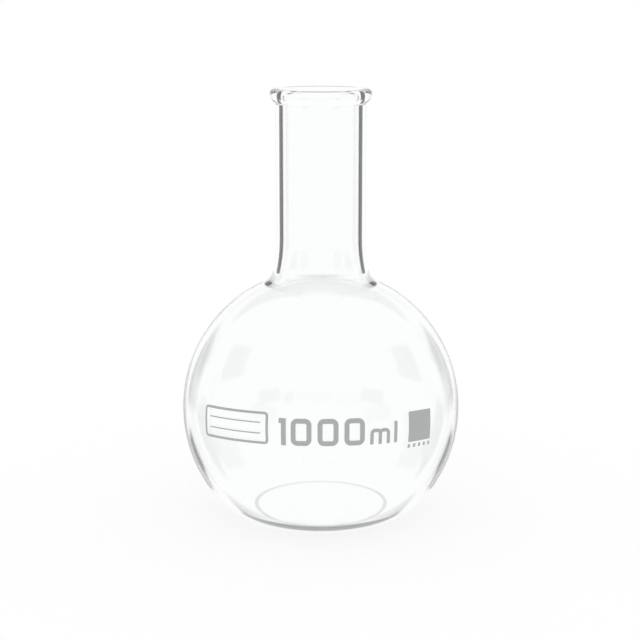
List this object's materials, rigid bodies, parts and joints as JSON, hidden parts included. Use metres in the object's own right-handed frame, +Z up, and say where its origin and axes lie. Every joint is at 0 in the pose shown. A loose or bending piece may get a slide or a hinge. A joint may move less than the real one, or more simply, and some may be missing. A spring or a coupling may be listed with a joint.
{
  "type": "flat-bottomed boiling flask",
  "caption": "Clear glass round flask with a flat base, a narrow neck and a beaded rim, for holding and heating liquids; enamel volume mark and pencil patch.",
  "frame": {"origin": "centre of the base, on the table", "axes": "+Z up along the flask's axis; the marks face -Y"},
  "size_m": [0.131, 0.1311, 0.201],
  "materials": {
    "clear_glass": "clear, fire polished",
    "fired_enamel": "matt fired enamel"
  },
  "bodies": {
    "root": {"rim_bead": "clear_glass", "neck_tube": "clear_glass", "neck_flare": "clear_glass", "shoulder": "clear_glass", "bulb_upper": "clear_glass", "bulb_lower": "clear_glass", "heel": "clear_glass", "base_disc": "clear_glass", "digit_one": "fired_enamel", "nought_1": "fired_enamel", "nought_2": "fired_enamel", "nought_3": "fired_enamel", "letter_m": "fired_enamel", "letter_l": "fired_enamel", "note_patch": "fired_enamel", "tick_row": "fired_enamel", "panel_frame": "fired_enamel", "panel_rule": "fired_enamel"}
  },
  "joints": []
}
